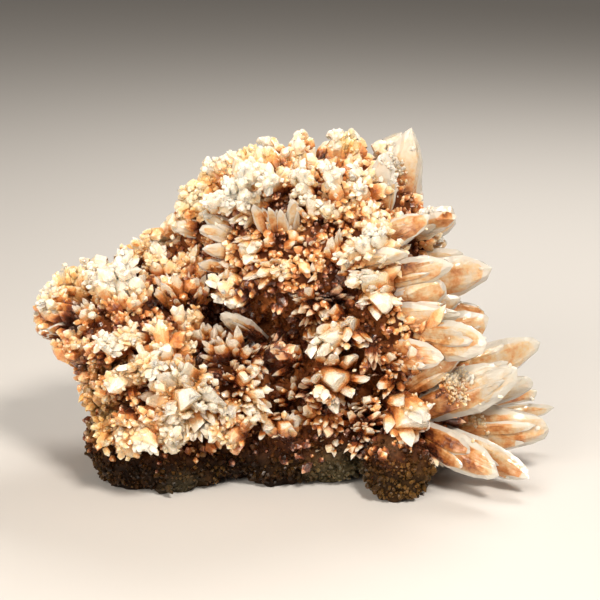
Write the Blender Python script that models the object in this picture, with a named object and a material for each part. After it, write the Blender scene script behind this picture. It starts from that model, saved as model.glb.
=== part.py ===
"""A calcite cluster: one natural specimen of pointed calcite crystals on a brown matrix, resting on small flats.

The frame is +X to the viewer's right, +Y away from the viewer and +Z up, with z = 0 at the surface that it
rests on and the origin in the middle of it. The lists below are in millimetres from a point near that middle:
main() moves the whole, and MM turns it into metres.
"""

import math
import random
from collections import namedtuple

import bmesh
import bpy
from mathutils import Matrix, Vector, noise

# Driving dimensions, in millimetres.
SPECIMEN_WIDTH = 130.0
DRAWN_WIDTH = 130.0
MM = 0.001 * SPECIMEN_WIDTH / DRAWN_WIDTH

SEED = 20
NODE = "calcite_cluster"

# The matrix: rough lumps that run into each other, each an ellipsoid (name, centre, radii).
CORE = [
    ("base", (-6, 3, 11), (42, 24, 16)),
    ("front_low", (0, -12, 8), (26, 9, 9)),
    ("left_foot", (-31, -12, 8), (18, 13, 13)),
    ("front_foot", (26, -21, 6), (8, 11, 9)),
    ("back_foot", (6, 20, 9), (22, 13, 14)),
    ("back_lobe", (-2, 17, 30), (28, 14, 20)),
    ("waist", (2, 12, 36), (26, 18, 18)),
    ("ledge", (-37, 0, 34), (19, 16, 10)),
    ("ledge_front", (-24, -10, 22), (22, 15, 13)),
    ("shoulder", (-30, 8, 42), (14, 13, 11)),
    ("front_middle", (8, -5, 18), (16, 14, 14)),
    ("right_low", (30, -2, 15), (13, 15, 13)),
    ("right_root", (22, 0, 36), (15, 17, 20)),
    ("dome", (5, 6, 56), (28, 22, 20)),
    ("dome_left", (-14, 8, 56), (15, 15, 13)),
]

# How finely the lumps run together, and how rough they are.
CORE_VOXEL = 3.0
CORE_TRIANGLES = 760
ROCK_SIZE = 8.0
ROCK_DEPTH = 2.4

# How a habit of crystal is cut: root width to full width, how far up it is widest, thickness to width, and how
# many faces end it.
Habit = namedtuple("Habit", "root shoulder flat ends")
HABITS = {
    "blade": Habit(0.62, 0.78, 0.56, 3),
    "point": Habit(0.72, 0.55, 0.82, 6),
    "rough": Habit(0.80, 0.58, 0.88, 6),
}
SIDES = 6
ROOTED = 3.0  # how far a crystal runs on below its stated root, into what it grows from

# The crystals that give the front its look: root, tip, width and habit.
RIGHT_BLADES = [
    ((24, 6, 56), (30, 2, 85), 13, "blade"),
    ((21, -4, 61), (23, -6, 81), 8, "blade"),
    ((28, 12, 56), (33, 14, 67), 6, "blade"),
    ((26, 4, 55), (42, 4, 64), 11, "blade"),
    ((28, 8, 51), (40, 8, 55), 6, "blade"),
    ((25, 0, 46), (50, 0, 50), 15, "blade"),
    ((24, -10, 44), (38, -14, 50), 11, "blade"),
    ((31, -4, 40), (42, -6, 44), 7, "blade"),
    ((28, -4, 32), (50, -6, 38), 13, "blade"),
    ((34, -2, 30), (47, -2, 31), 7, "blade"),
    ((37, 2, 18), (63, 4, 30), 13, "blade"),
    ((29, -14, 24), (41, -20, 35), 9, "blade"),
    ((34, -14, 19), (55, -18, 30), 14, "blade"),
    ((39, 4, 15), (64, 8, 15), 8, "blade"),
    ((40, 5, 9), (68, 10, 10), 7, "blade"),
    ((38, -8, 11), (65, -12, 13), 15, "blade"),
    ((32, -16, 13), (50, -32, 8), 11, "blade"),
    ((37, -12, 11), (58, -26, 5), 10, "blade"),
]
LOWER_RIGHT = [
    ((26, -14, 20), (32, -34, 19), 12, "point"),
    ((31, -13, 27), (29, -22, 38), 6, "point"),
    ((20, -12, 37), (19, -24, 32), 5, "point"),
    ((25, -12, 27), (21, -26, 27), 5, "point"),
    ((23, -12, 30), (25, -24, 35), 5, "point"),
    ((27, -16, 14), (28, -24, 10), 5, "point"),
    ((33, -16, 11), (36, -26, 7), 5, "point"),
    ((23, -14, 12), (22, -22, 9), 5, "point"),
]
CENTRE = [
    ((24, -10, 48), (15, -26, 56), 7, "point"),
    ((20, -10, 47), (23, -26, 47), 7, "point"),
    ((13, -10, 37), (6, -32, 42), 11, "point"),
    ((13, -12, 39), (15, -32, 41), 7, "point"),
    ((11, -10, 36), (8, -26, 36), 6, "point"),
    ((10, -10, 26), (12, -36, 32), 12, "point"),
    ((9, -12, 24), (7, -32, 27), 8, "point"),
    ((7, -6, 44), (-1, -18, 52), 6, "point"),
    ((7, -6, 44), (3, -24, 52), 5, "point"),
    ((8, -4, 43), (7, -16, 54), 6, "point"),
    ((9, -4, 43), (12, -20, 52), 6, "point"),
    ((7, -6, 43), (1, -20, 45), 5, "point"),
    ((8, -6, 43), (8, -22, 44), 7, "point"),
    ((24, -8, 56), (14, -26, 63), 9, "rough"),
    ((22, -6, 56), (19, -22, 66), 8, "rough"),
    ((6, -8, 63), (4, -22, 74), 6, "point"),
    ((10, -8, 52), (10, -22, 65), 5, "point"),
    ((10, -8, 54), (3, -22, 56), 5, "point"),
    ((13, -6, 63), (10, -20, 70), 5, "rough"),
    ((15, -4, 60), (17, -16, 70), 6, "rough"),
    ((7, -8, 58), (3, -22, 63), 5, "point"),
    ((15, -8, 52), (13, -22, 58), 6, "point"),
]
FAN_AND_SHEAF = [
    ((-2, -8, 56), (-9, -18, 71), 5, "blade"),
    ((-1, -8, 56), (-5, -20, 71), 4, "blade"),
    ((-1, -8, 56), (-2, -20, 70), 4, "blade"),
    ((0, -8, 56), (1, -20, 73), 5, "blade"),
    ((-11, -6, 59), (-21, -12, 67), 5, "blade"),
    ((-11, -6, 58), (-22, -14, 64), 5, "blade"),
    ((-15, 0, 58), (-29, -4, 62), 6, "blade"),
    ((-10, -6, 55), (-21, -14, 59), 5, "blade"),
    ((-13, -4, 51), (-22, -14, 55), 5, "blade"),
    ((-12, -6, 51), (-18, -16, 52), 5, "point"),
    ((-3, -8, 53), (-8, -26, 55), 6, "point"),
    ((-7, -6, 59), (-10, -22, 60), 6, "point"),
    ((-9, -6, 68), (-16, -16, 73), 6, "rough"),
    ((-8, -6, 66), (-13, -20, 70), 5, "point"),
]
SKYLINE = [
    ((-19, 0, 65), (-27, -2, 70), 8, "rough"),
    ((-17, 2, 67), (-26, 4, 72), 7, "rough"),
    ((-14, 2, 68), (-21, 4, 77), 8, "rough"),
    ((-11, 2, 70), (-15, 2, 79), 8, "rough"),
    ((-7, 2, 71), (-8, 4, 82), 8, "rough"),
    ((-4, 6, 71), (-4, 8, 81), 7, "rough"),
    ((2, 4, 72), (2, 4, 85), 8, "rough"),
    ((8, 2, 69), (7, 0, 78), 6, "rough"),
    ((13, 2, 71), (11, 2, 85), 6, "rough"),
    ((15, 4, 71), (15, 4, 85), 7, "rough"),
    ((19, 0, 69), (19, 0, 78), 6, "rough"),
]
DOME_FACE = [
    ((-16, -4, 64), (-20, -16, 72), 6, "rough"),
    ((-10, -6, 69), (-12, -18, 78), 7, "rough"),
    ((-2, -6, 70), (-5, -20, 79), 7, "rough"),
    ((5, -8, 69), (2, -20, 77), 7, "rough"),
    ((11, -8, 68), (11, -18, 77), 7, "rough"),
    ((17, -6, 67), (17, -16, 76), 7, "rough"),
]
LEFT_LEDGE = [
    ((-52, -4, 39), (-64, -8, 42), 9, "rough"),
    ((-51, 0, 40), (-61, -2, 47), 10, "rough"),
    ((-48, 2, 40), (-54, 2, 51), 10, "rough"),
    ((-44, 0, 40), (-49, 2, 51), 8, "rough"),
    ((-41, -6, 39), (-40, -10, 54), 10, "rough"),
    ((-39, -6, 40), (-35, -10, 52), 6, "point"),
    ((-52, -6, 37), (-59, -12, 38), 4, "blade"),
    ((-53, -4, 34), (-62, -8, 36), 4, "blade"),
    ((-47, -8, 37), (-50, -20, 46), 6, "point"),
]
LEFT_SHOULDER = [
    ((-35, 8, 45), (-44, 8, 52), 8, "rough"),
    ((-33, 10, 46), (-40, 10, 56), 8, "rough"),
    ((-32, 10, 46), (-36, 10, 57), 8, "rough"),
    ((-29, 10, 46), (-31, 10, 57), 8, "rough"),
    ((-26, 8, 46), (-26, 8, 56), 7, "rough"),
    ((-31, 0, 46), (-34, -8, 55), 7, "rough"),
    ((-25, 0, 46), (-24, -8, 55), 7, "rough"),
    ((-28, -6, 41), (-31, -16, 52), 5, "point"),
    ((-26, -6, 41), (-27, -16, 54), 5, "point"),
    ((-25, -6, 41), (-22, -14, 53), 5, "point"),
]
LEFT_LOW = [
    ((-48, -8, 28), (-55, -16, 33), 7, "rough"),
    ((-47, -8, 29), (-52, -18, 38), 7, "rough"),
    ((-46, -11, 25), (-52, -22, 29), 7, "rough"),
    ((-42, -12, 30), (-43, -24, 40), 7, "rough"),
    ((-43, -14, 21), (-48, -24, 24), 7, "rough"),
    ((-42, -16, 16), (-47, -26, 17), 6, "rough"),
    ((-39, -18, 17), (-42, -30, 15), 7, "rough"),
    ((-36, -20, 20), (-35, -34, 18), 7, "rough"),
    ((-38, -16, 25), (-39, -30, 32), 8, "rough"),
]
LEDGE_MIDDLE = [
    ((-34, -14, 33), (-37, -22, 41), 7, "rough"),
    ((-30, -12, 33), (-31, -18, 43), 7, "rough"),
    ((-24, -12, 34), (-26, -18, 44), 7, "rough"),
    ((-22, -12, 33), (-22, -24, 42), 6, "point"),
    ((-19, -12, 32), (-18, -20, 42), 6, "point"),
    ((-34, -18, 29), (-35, -32, 36), 7, "rough"),
]
ROSETTE = [
    ((-25, -20, 23), (-35, -34, 27), 9, "point"),
    ((-24, -20, 23), (-31, -34, 35), 8, "point"),
    ((-24, -20, 24), (-23, -34, 38), 8, "point"),
    ((-24, -20, 23), (-16, -36, 30), 9, "point"),
    ((-24, -20, 22), (-20, -36, 18), 8, "point"),
    ((-25, -20, 22), (-29, -36, 22), 7, "point"),
    ((-25, -18, 22), (-24, -42, 31), 11, "point"),
]
LEDGE_RIGHT = [
    ((-14, -15, 30), (-18, -28, 40), 6, "point"),
    ((-13, -15, 30), (-14, -26, 41), 6, "point"),
    ((-13, -15, 30), (-9, -28, 39), 5, "point"),
    ((-8, -8, 35), (-16, -22, 45), 5, "blade"),
    ((-12, -18, 26), (-10, -34, 34), 6, "point"),
    ((-12, -18, 24), (-5, -34, 28), 6, "point"),
    ((-13, -18, 23), (-13, -34, 23), 7, "point"),
    ((-13, -18, 21), (-18, -32, 17), 6, "rough"),
    ((-10, -18, 22), (-8, -32, 22), 6, "point"),
    ((2, -8, 28), (-4, -22, 35), 5, "point"),
    ((-10, -12, 31), (-6, -28, 34), 5, "point"),
]
LOWER_MIDDLE = [
    ((7, -14, 16), (3, -28, 24), 5, "point"),
    ((6, -14, 15), (0, -26, 20), 5, "point"),
    ((9, -14, 18), (9, -28, 15), 6, "point"),
    ((18, -14, 14), (13, -26, 22), 5, "point"),
    ((18, -14, 14), (22, -26, 22), 5, "point"),
    ((18, -14, 13), (20, -28, 17), 5, "point"),
    ((17, -14, 11), (14, -26, 10), 5, "point"),
    ((10, -12, 11), (10, -24, 10), 5, "point"),
    ((-5, -16, 16), (-5, -30, 18), 6, "point"),
    ((1, -12, 20), (0, -28, 28), 5, "point"),
    ((20, -12, 19), (18, -26, 25), 5, "point"),
]
PLACED = (
    RIGHT_BLADES
    + LOWER_RIGHT
    + CENTRE
    + FAN_AND_SHEAF
    + SKYLINE
    + DOME_FACE
    + LEFT_LEDGE
    + LEFT_SHOULDER
    + LEFT_LOW
    + LEDGE_MIDDLE
    + ROSETTE
    + LEDGE_RIGHT
    + LOWER_MIDDLE
)

# Where the matrix stays bare: the dark recess under the dome, as an ellipsoid, and everything below a height.
RECESS_CENTRE = (-7, -16, 39)
RECESS_RADII = (15, 15, 8)
BARE_BELOW = 13.0
FILL_SPACING = 8.0
FILL_CLEARANCE = 2.4  # between the matrix under a placed crystal and the next filling one
FILL_SHORTEST = 6.0
BLADES_FROM = 15.0  # how far to the right a filling crystal can be a blade

# The outline that a viewer in front and a little above sees, as (across, up) from the point that they look at.
VIEW_TARGET = (2.5, 0, 42)
VIEW_DISTANCE = 500.0
VIEW_ANGLE = 16.0
PROFILE = [
    (-68, -2), (-60, 8), (-46, 12), (-38, 17), (-32, 18), (-30, 27), (-23, 35), (-11, 40), (0, 43),
    (28, 42), (30, 38), (30, 26), (39, 22), (36, 14), (47, 9), (42, -2), (48, -4), (44, -11),
    (58, -10), (62, -27), (55, -41), (51, -46), (32, -42), (-53, -35), (-56, -17), (-65, -8),
]

Crystal = namedtuple("Crystal", "root tip width habit roll")


def depth_in(point, centre, radii):
    """Below 1 inside the ellipsoid, 1 on it."""
    return math.sqrt(sum(((p - c) / r) ** 2 for p, c, r in zip(point, centre, radii)))


def even_directions(count):
    """Unit vectors spread evenly over the sphere."""
    turn = math.pi * (3 - math.sqrt(5))
    for i in range(count):
        z = 1 - (2 * i + 1) / count
        around = math.sqrt(1 - z * z)
        yield Vector((around * math.cos(turn * i), around * math.sin(turn * i), z))


def distance_to_axis(point, root, tip):
    """From a point to the line between a crystal's root and its tip."""
    axis = tip - root
    along = max(0.0, min(1.0, (point - root).dot(axis) / axis.length_squared))
    return (point - root - axis * along).length


def seen(point):
    """Where the viewer sees the point, as (across, up) in the plane of the point that they look at."""
    angle = math.radians(VIEW_ANGLE)
    away = Vector(point) - Vector(VIEW_TARGET)
    depth = VIEW_DISTANCE + away.dot((0, math.cos(angle), -math.sin(angle)))
    up = away.dot((0, math.sin(angle), math.cos(angle)))
    return away.x * VIEW_DISTANCE / depth, up * VIEW_DISTANCE / depth


def in_profile(point):
    """Whether the viewer sees the point inside the outline."""
    across, up = seen(point)
    inside = False
    for (x1, y1), (x2, y2) in zip(PROFILE, PROFILE[1:] + PROFILE[:1]):
        if (y1 > up) != (y2 > up) and across < x1 + (up - y1) * (x2 - x1) / (y2 - y1):
            inside = not inside
    return inside


def filling_habit(point, normal, draw):
    """(habit, length, width) of a crystal that fills a gap, by the side of the specimen that it is on."""
    if normal.x > 0.45 and point.x > BLADES_FROM:
        return "blade", draw.uniform(16, 23), draw.uniform(8, 12)
    if normal.y > 0.4:
        return draw.choice(("point", "rough")), draw.uniform(10, 16), draw.uniform(9, 12)
    if normal.z > 0.35 or normal.x < -0.3:
        return "rough", draw.uniform(8.5, 12), draw.uniform(8, 10)
    return draw.choice(("point", "rough")), draw.uniform(8, 12), draw.uniform(6, 9)


def filling_crystals(placed, draw):
    """Crystals that cover the rest of the matrix, each roughly square to the lump under it."""
    found = []
    for name, centre, radii in CORE:
        centre, radii = Vector(centre), Vector(radii)
        area = 4 * math.pi * ((radii.x * radii.y + radii.x * radii.z + radii.y * radii.z) / 3)
        for direction in even_directions(int(area / (0.2 * FILL_SPACING**2))):
            point = centre + Vector(d * r for d, r in zip(direction, radii))
            normal = Vector(d / r for d, r in zip(direction, radii)).normalized()
            others = (lump for lump in CORE if lump[0] != name)
            if point.z < BARE_BELOW or any(depth_in(point, c, r) < 1 for _, c, r in others):
                continue
            if depth_in(point, RECESS_CENTRE, RECESS_RADII) < 1 or normal.z < -0.6:
                continue
            if any((point - crystal.root).length < FILL_SPACING for crystal in found):
                continue
            reach = ((distance_to_axis(point, p.root, p.tip), p.width) for p in placed)
            if any(distance < width / 2 + FILL_CLEARANCE for distance, width in reach):
                continue
            habit, length, width = filling_habit(point, normal, draw)
            lean = Vector((draw.gauss(0, 0.22), draw.gauss(0, 0.22), draw.gauss(0.08, 0.22)))
            axis = (normal + lean).normalized()
            while length > FILL_SHORTEST and not in_profile(point + axis * length):
                length *= 0.9
            if length > FILL_SHORTEST:
                roll = draw.uniform(-30, 30)
                found.append(Crystal(point, point + axis * length, width, habit, roll))
    return found


def all_crystals():
    draw = random.Random(SEED)
    placed = [
        Crystal(Vector(root), Vector(tip), width, habit, draw.uniform(-15, 15))
        for root, tip, width, habit in PLACED
    ]
    return placed + filling_crystals(placed, draw)


def middle_of(crystals):
    """The point on the resting surface under the middle of the box round the crystals' tips."""
    across = [crystal.tip.x for crystal in crystals]
    deep = [crystal.tip.y for crystal in crystals]
    return Vector((min(across) + max(across), min(deep) + max(deep), 0)) / 2


def crystal_frame(crystal):
    """Turns and places a crystal drawn along +Z, with its broad side across the view."""
    axis = (crystal.tip - crystal.root).normalized()
    away = Vector((0, 1, 0)) if abs(axis.y) < 0.95 else Vector((0, 0, 1))
    broad = axis.cross(away).normalized()
    turned = Matrix((broad, axis.cross(broad), axis)).transposed()
    spin = Matrix.Rotation(math.radians(crystal.roll), 3, "Z")
    return Matrix.Translation(crystal.root) @ (turned @ spin).to_4x4()


def crystal_solid(crystal):
    """(points, faces) of one crystal: six sides that widen to a pointed end of three or six faces, all flat."""
    habit = HABITS[crystal.habit]
    length = (crystal.tip - crystal.root).length
    half = crystal.width / 2
    root = habit.root * half
    high = habit.shoulder * length
    slope = (half - root) / high
    steepness = 2 * (length - high) / half
    low = (length - steepness * root) / (1 + steepness * slope) if habit.ends == 3 else high
    heights = [-ROOTED] * SIDES + [high if i % 2 else low for i in range(SIDES)]
    points = []
    for i, z in enumerate(heights):
        around = math.tau * i / SIDES
        radius = root + slope * z
        points.append((radius * math.cos(around), radius * math.sin(around) * habit.flat, z))
    points.append((0, 0, length))
    tip = 2 * SIDES
    faces = [tuple(reversed(range(SIDES)))]
    for i in range(SIDES):
        j = (i + 1) % SIDES
        faces.append((i, j, SIDES + j, SIDES + i))
        if habit.ends == SIDES:
            faces.append((tip, SIDES + i, SIDES + j))
        elif i % 2 == 0:
            faces.append((tip, SIDES + (i - 1) % SIDES, SIDES + i, SIDES + j))
    placed = crystal_frame(crystal)
    return [placed @ Vector(p) for p in points], faces


def add_object(name, points, faces):
    mesh = bpy.data.meshes.new(name)
    mesh.from_pydata([p * MM for p in points], [], faces)
    made = bpy.data.objects.new(name, mesh)
    bpy.context.scene.collection.objects.link(made)
    return made


def applied(made, modifier):
    """Applies the modifier, and returns the object."""
    with bpy.context.temp_override(object=made, active_object=made, selected_objects=[made]):
        bpy.ops.object.modifier_apply(modifier=modifier.name)
    return made


def matrix_rock():
    """The lumps of the matrix, run together into one rough solid and cut flat where it rests."""
    points, faces = [], []
    for _, centre, radii in CORE:
        ball = bmesh.new()
        bmesh.ops.create_icosphere(ball, subdivisions=4, radius=1)
        first = len(points)
        points += [Vector(c + v * r for c, v, r in zip(centre, vert.co, radii)) for vert in ball.verts]
        faces += [tuple(first + v.index for v in face.verts) for face in ball.faces]
        ball.free()
    rock = add_object("matrix", points, faces)
    remesh = rock.modifiers.new("Run together", "REMESH")
    remesh.mode = "VOXEL"
    remesh.voxel_size = CORE_VOXEL * MM
    applied(rock, remesh)
    for vertex in rock.data.vertices:
        place = vertex.co / (ROCK_SIZE * MM)
        push = noise.fractal(place, 0.9, 2.1, 3)
        vertex.co += vertex.normal * push * ROCK_DEPTH * MM
    thin = rock.modifiers.new("Facets", "DECIMATE")
    thin.ratio = CORE_TRIANGLES / sum(len(face.vertices) - 2 for face in rock.data.polygons)
    applied(rock, thin)
    return cut_flat(rock)


def cut_flat(rock):
    """Cuts the rock at z = 0, so that it rests on flat faces."""
    cut = bmesh.new()
    cut.from_mesh(rock.data)
    everything = cut.verts[:] + cut.edges[:] + cut.faces[:]
    bmesh.ops.bisect_plane(cut, geom=everything, plane_co=(0, 0, 0), plane_no=(0, 0, 1), clear_inner=True)
    rim = [edge for edge in cut.edges if edge.is_boundary]
    bmesh.ops.holes_fill(cut, edges=rim, sides=0)
    bmesh.ops.recalc_face_normals(cut, faces=cut.faces)
    cut.to_mesh(rock.data)
    cut.free()
    return rock


def fused(rock, crystals):
    """The crystals joined to the matrix in one solid."""
    points, faces = [], []
    for crystal in crystals:
        own, sides = crystal_solid(crystal)
        first = len(points)
        points += own
        faces += [tuple(first + i for i in side) for side in sides]
    growth = add_object("growth", points, faces)
    growth.hide_render = True
    growth.display_type = "WIRE"
    join = rock.modifiers.new("Grown together", "BOOLEAN")
    join.operation = "UNION"
    join.solver = "EXACT"
    join.use_self = True
    join.object = growth
    applied(rock, join)
    bpy.data.objects.remove(growth)
    return rock


def keep_outside(rock):
    """Deletes the small closed voids left between crystals, which nothing could see or reach."""
    shell = bmesh.new()
    shell.from_mesh(rock.data)
    waiting = set(shell.faces)
    islands = []
    while waiting:
        frontier = [waiting.pop()]
        island = []
        while frontier:
            face = frontier.pop()
            island.append(face)
            near = {other for edge in face.edges for other in edge.link_faces} & waiting
            waiting -= near
            frontier += near
        islands.append(island)
    islands.sort(key=len)
    inner = [face for island in islands[:-1] for face in island]
    bmesh.ops.delete(shell, geom=inner, context="FACES")
    shell.to_mesh(rock.data)
    shell.free()
    return rock


def calcite_material():
    made = bpy.data.materials.new("calcite")
    made.use_nodes = True
    shader = made.node_tree.nodes["Principled BSDF"]
    shader.inputs["Base Color"].default_value = (0.84, 0.62, 0.42, 1)
    shader.inputs["Roughness"].default_value = 0.3
    shader.inputs["Metallic"].default_value = 0.0
    return made


def main():
    for old in list(bpy.data.objects):
        bpy.data.objects.remove(old)
    crystals = all_crystals()
    cluster = keep_outside(fused(matrix_rock(), crystals))
    cluster.data.transform(Matrix.Translation(-middle_of(crystals) * MM))
    cluster.name = NODE
    cluster.data.name = NODE
    cluster.data.materials.clear()
    cluster.data.materials.append(calcite_material())


main()
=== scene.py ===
"""A calcite cluster: frosted, stained crystals with finer growth on them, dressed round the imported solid.

The frame is the row's. The lists are the part's own, in millimetres from a point near the middle of its
footprint, and in_row() moves what is made from them to the row's frame, in metres.
"""

import math
import random
from collections import namedtuple

import bmesh
import bpy
import numpy as np
from mathutils import Matrix, Vector, noise


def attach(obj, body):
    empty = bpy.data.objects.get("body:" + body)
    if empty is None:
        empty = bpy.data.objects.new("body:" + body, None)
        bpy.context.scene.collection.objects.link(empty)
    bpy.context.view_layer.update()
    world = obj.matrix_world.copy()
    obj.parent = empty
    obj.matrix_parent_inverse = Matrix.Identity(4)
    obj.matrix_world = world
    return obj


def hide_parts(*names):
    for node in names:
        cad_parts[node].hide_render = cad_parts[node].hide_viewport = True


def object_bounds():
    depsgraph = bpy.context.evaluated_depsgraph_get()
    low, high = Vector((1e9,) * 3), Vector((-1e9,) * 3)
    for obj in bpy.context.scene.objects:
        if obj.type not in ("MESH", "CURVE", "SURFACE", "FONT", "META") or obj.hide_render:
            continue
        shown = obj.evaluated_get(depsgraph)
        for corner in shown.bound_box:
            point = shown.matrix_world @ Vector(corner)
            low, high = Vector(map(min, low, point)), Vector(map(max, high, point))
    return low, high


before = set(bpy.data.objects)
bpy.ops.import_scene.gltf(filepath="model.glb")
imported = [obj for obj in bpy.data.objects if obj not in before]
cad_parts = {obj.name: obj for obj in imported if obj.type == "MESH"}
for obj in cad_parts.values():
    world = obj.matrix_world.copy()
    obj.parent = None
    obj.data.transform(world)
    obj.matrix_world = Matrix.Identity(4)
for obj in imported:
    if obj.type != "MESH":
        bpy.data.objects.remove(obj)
CAD_BOX = [list(corner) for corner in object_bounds()]

# Driving dimensions, in millimetres.
SPECIMEN_WIDTH = 130.0
DRAWN_WIDTH = 130.0
MM = 0.001 * SPECIMEN_WIDTH / DRAWN_WIDTH

SEED = 20
NODE = "calcite_cluster"

# The matrix: rough lumps that run into each other, each an ellipsoid (name, centre, radii).
CORE = [
    ("base", (-6, 3, 11), (42, 24, 16)),
    ("front_low", (0, -12, 8), (26, 9, 9)),
    ("left_foot", (-31, -12, 8), (18, 13, 13)),
    ("front_foot", (26, -21, 6), (8, 11, 9)),
    ("back_foot", (6, 20, 9), (22, 13, 14)),
    ("back_lobe", (-2, 17, 30), (28, 14, 20)),
    ("waist", (2, 12, 36), (26, 18, 18)),
    ("ledge", (-37, 0, 34), (19, 16, 10)),
    ("ledge_front", (-24, -10, 22), (22, 15, 13)),
    ("shoulder", (-30, 8, 42), (14, 13, 11)),
    ("front_middle", (8, -5, 18), (16, 14, 14)),
    ("right_low", (30, -2, 15), (13, 15, 13)),
    ("right_root", (22, 0, 36), (15, 17, 20)),
    ("dome", (5, 6, 56), (28, 22, 20)),
    ("dome_left", (-14, 8, 56), (15, 15, 13)),
]

# How large the swells of their surface are, and how deep.
ROCK_SIZE = 8.0
ROCK_DEPTH = 2.4

FLATNESS = {"blade": 0.56, "point": 0.82, "rough": 0.88}  # a crystal's thickness to its width, by its habit
SIDES = 6

# The crystals that give the front its look: root, tip, width and, where it isn't the group's, habit.
RIGHT_BLADES = [
    ((24, 6, 56), (30, 2, 85), 13), ((21, -4, 61), (23, -6, 81), 8), ((28, 12, 56), (33, 14, 67), 6),
    ((26, 4, 55), (42, 4, 64), 11), ((28, 8, 51), (40, 8, 55), 6), ((25, 0, 46), (50, 0, 50), 15),
    ((24, -10, 44), (38, -14, 50), 11), ((31, -4, 40), (42, -6, 44), 7), ((28, -4, 32), (50, -6, 38), 13),
    ((34, -2, 30), (47, -2, 31), 7), ((37, 2, 18), (63, 4, 30), 13), ((29, -14, 24), (41, -20, 35), 9),
    ((34, -14, 19), (55, -18, 30), 14), ((39, 4, 15), (64, 8, 15), 8), ((40, 5, 9), (68, 10, 10), 7),
    ((38, -8, 11), (65, -12, 13), 15), ((32, -16, 13), (50, -32, 8), 11), ((37, -12, 11), (58, -26, 5), 10),
]
LOWER_RIGHT = [
    ((26, -14, 20), (32, -34, 19), 12), ((31, -13, 27), (29, -22, 38), 6),
    ((20, -12, 37), (19, -24, 32), 5), ((25, -12, 27), (21, -26, 27), 5), ((23, -12, 30), (25, -24, 35), 5),
    ((27, -16, 14), (28, -24, 10), 5), ((33, -16, 11), (36, -26, 7), 5), ((23, -14, 12), (22, -22, 9), 5),
]
CENTRE = [
    ((24, -10, 48), (15, -26, 56), 7), ((20, -10, 47), (23, -26, 47), 7), ((13, -10, 37), (6, -32, 42), 11),
    ((13, -12, 39), (15, -32, 41), 7), ((11, -10, 36), (8, -26, 36), 6), ((10, -10, 26), (12, -36, 32), 12),
    ((9, -12, 24), (7, -32, 27), 8), ((7, -6, 44), (-1, -18, 52), 6), ((7, -6, 44), (3, -24, 52), 5),
    ((8, -4, 43), (7, -16, 54), 6), ((9, -4, 43), (12, -20, 52), 6), ((7, -6, 43), (1, -20, 45), 5),
    ((8, -6, 43), (8, -22, 44), 7), ((24, -8, 56), (14, -26, 63), 9, "rough"),
    ((22, -6, 56), (19, -22, 66), 8, "rough"), ((6, -8, 63), (4, -22, 74), 6),
    ((10, -8, 52), (10, -22, 65), 5), ((10, -8, 54), (3, -22, 56), 5),
    ((13, -6, 63), (10, -20, 70), 5, "rough"), ((15, -4, 60), (17, -16, 70), 6, "rough"),
    ((7, -8, 58), (3, -22, 63), 5), ((15, -8, 52), (13, -22, 58), 6),
]
FAN_AND_SHEAF = [
    ((-2, -8, 56), (-9, -18, 71), 5), ((-1, -8, 56), (-5, -20, 71), 4), ((-1, -8, 56), (-2, -20, 70), 4),
    ((0, -8, 56), (1, -20, 73), 5), ((-11, -6, 59), (-21, -12, 67), 5), ((-11, -6, 58), (-22, -14, 64), 5),
    ((-15, 0, 58), (-29, -4, 62), 6), ((-10, -6, 55), (-21, -14, 59), 5),
    ((-13, -4, 51), (-22, -14, 55), 5), ((-12, -6, 51), (-18, -16, 52), 5, "point"),
    ((-3, -8, 53), (-8, -26, 55), 6, "point"), ((-7, -6, 59), (-10, -22, 60), 6, "point"),
    ((-9, -6, 68), (-16, -16, 73), 6, "rough"), ((-8, -6, 66), (-13, -20, 70), 5, "point"),
]
SKYLINE = [
    ((-19, 0, 65), (-27, -2, 70), 8), ((-17, 2, 67), (-26, 4, 72), 7), ((-14, 2, 68), (-21, 4, 77), 8),
    ((-11, 2, 70), (-15, 2, 79), 8), ((-7, 2, 71), (-8, 4, 82), 8), ((-4, 6, 71), (-4, 8, 81), 7),
    ((2, 4, 72), (2, 4, 85), 8), ((8, 2, 69), (7, 0, 78), 6), ((13, 2, 71), (11, 2, 85), 6),
    ((15, 4, 71), (15, 4, 85), 7), ((19, 0, 69), (19, 0, 78), 6),
]
DOME_FACE = [
    ((-16, -4, 64), (-20, -16, 72), 6), ((-10, -6, 69), (-12, -18, 78), 7),
    ((-2, -6, 70), (-5, -20, 79), 7), ((5, -8, 69), (2, -20, 77), 7), ((11, -8, 68), (11, -18, 77), 7),
    ((17, -6, 67), (17, -16, 76), 7),
]
LEFT_LEDGE = [
    ((-52, -4, 39), (-64, -8, 42), 9), ((-51, 0, 40), (-61, -2, 47), 10), ((-48, 2, 40), (-54, 2, 51), 10),
    ((-44, 0, 40), (-49, 2, 51), 8), ((-41, -6, 39), (-40, -10, 54), 10),
    ((-39, -6, 40), (-35, -10, 52), 6, "point"), ((-52, -6, 37), (-59, -12, 38), 4, "blade"),
    ((-53, -4, 34), (-62, -8, 36), 4, "blade"), ((-47, -8, 37), (-50, -20, 46), 6, "point"),
]
LEFT_SHOULDER = [
    ((-35, 8, 45), (-44, 8, 52), 8), ((-33, 10, 46), (-40, 10, 56), 8), ((-32, 10, 46), (-36, 10, 57), 8),
    ((-29, 10, 46), (-31, 10, 57), 8), ((-26, 8, 46), (-26, 8, 56), 7), ((-31, 0, 46), (-34, -8, 55), 7),
    ((-25, 0, 46), (-24, -8, 55), 7), ((-28, -6, 41), (-31, -16, 52), 5, "point"),
    ((-26, -6, 41), (-27, -16, 54), 5, "point"), ((-25, -6, 41), (-22, -14, 53), 5, "point"),
]
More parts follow.
